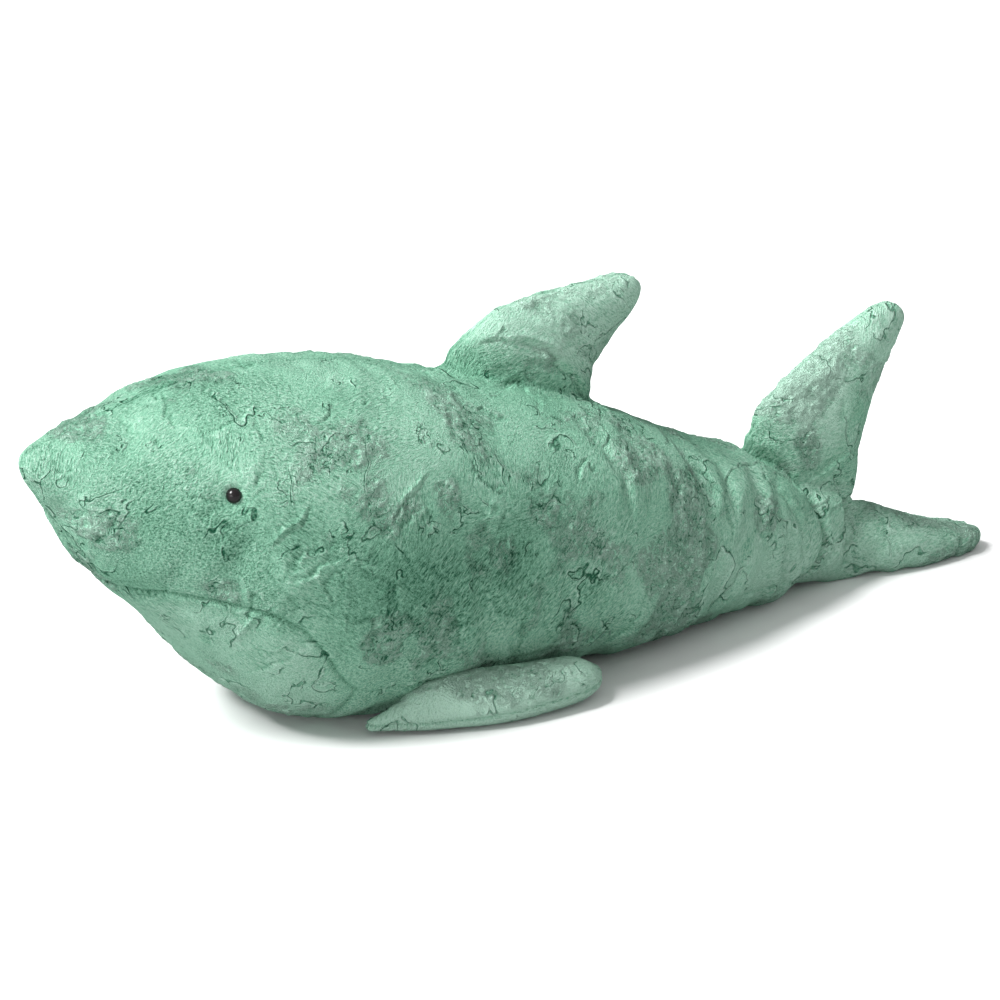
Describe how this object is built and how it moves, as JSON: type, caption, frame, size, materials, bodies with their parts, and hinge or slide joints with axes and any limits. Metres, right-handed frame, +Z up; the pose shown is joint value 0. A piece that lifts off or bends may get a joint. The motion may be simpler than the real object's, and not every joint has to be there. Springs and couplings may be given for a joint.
{
  "type": "plush shark",
  "caption": "Large stuffed shark cushion toy in crushed short-pile cloth, lying on its belly, with bead eyes and soft fins and tail that bend at their sewn roots.",
  "frame": {"origin": "on the surface that the toy lies on, under the middle of its overall box", "axes": "+Z up, nose towards -X, tail towards +X, the shark's left side towards -Y"},
  "size_m": [1, 0.3042, 0.3217],
  "materials": {
    "pile_cloth": "crushed short pile, seafoam green",
    "fibre_stuffing": "loose white polyester fibre",
    "eye_black": "polished black",
    "washer_plastic": "moulded, natural white",
    "sewing_thread": "polyester thread, matched to the cloth"
  },
  "bodies": {
    "body": {"side_panel_left": "pile_cloth", "side_panel_right": "pile_cloth", "chin_panel": "pile_cloth", "belly_panel": "pile_cloth", "body_stuffing": "fibre_stuffing", "closing_stitches": "sewing_thread", "eye_bead_left": "eye_black", "eye_bead_right": "eye_black", "eye_washer_left": "washer_plastic", "eye_washer_right": "washer_plastic"},
    "dorsal_fin": {"dorsal_fin_panel_left": "pile_cloth", "dorsal_fin_panel_right": "pile_cloth", "dorsal_fin_stuffing": "fibre_stuffing"},
    "pectoral_fin_left": {"pectoral_left_panel_upper": "pile_cloth", "pectoral_left_panel_lower": "pile_cloth", "pectoral_left_stuffing": "fibre_stuffing"},
    "pectoral_fin_right": {"pectoral_right_panel_upper": "pile_cloth", "pectoral_right_panel_lower": "pile_cloth", "pectoral_right_stuffing": "fibre_stuffing"},
    "tail_root": {"tail_root_panel_left": "pile_cloth", "tail_root_panel_right": "pile_cloth", "tail_root_stuffing": "fibre_stuffing"},
    "upper_lobe": {"upper_lobe_panel_left": "pile_cloth", "upper_lobe_panel_right": "pile_cloth", "upper_lobe_stuffing": "fibre_stuffing"},
    "lower_lobe": {"lower_lobe_panel_left": "pile_cloth", "lower_lobe_panel_right": "pile_cloth", "lower_lobe_stuffing": "fibre_stuffing"}
  },
  "joints": [
    {"name": "dorsal_fin_lean", "type": "hinge", "parent": "body", "child": "dorsal_fin", "pos_m": [-0.032, 0, 0.245], "axis": [0.9529, 0, -0.3032], "range_deg": [-25, 25], "stiffness_Nm_per_rad": 0.6},
    {"name": "pectoral_left_lift", "type": "hinge", "parent": "body", "child": "pectoral_fin_left", "pos_m": [-0.16, -0.113, 0.036], "axis": [-1, 0, 0], "range_deg": [0, 30], "stiffness_Nm_per_rad": 0.3},
    {"name": "pectoral_right_lift", "type": "hinge", "parent": "body", "child": "pectoral_fin_right", "pos_m": [-0.16, 0.113, 0.036], "axis": [1, 0, 0], "range_deg": [0, 30], "stiffness_Nm_per_rad": 0.3},
    {"name": "tail_swing", "type": "hinge", "parent": "body", "child": "tail_root", "pos_m": [0.272, 0, 0.06], "axis": [0, 0, 1], "range_deg": [-35, 35], "stiffness_Nm_per_rad": 2},
    {"name": "upper_lobe_bend", "type": "hinge", "parent": "tail_root", "child": "upper_lobe", "pos_m": [0.283, 0, 0.107], "axis": [0.9219, 0, -0.3875], "range_deg": [-30, 30], "stiffness_Nm_per_rad": 0.6},
    {"name": "lower_lobe_bend", "type": "hinge", "parent": "tail_root", "child": "lower_lobe", "pos_m": [0.322, 0, 0.03], "axis": [0, 0, 1], "range_deg": [-25, 25], "stiffness_Nm_per_rad": 0.5}
  ]
}
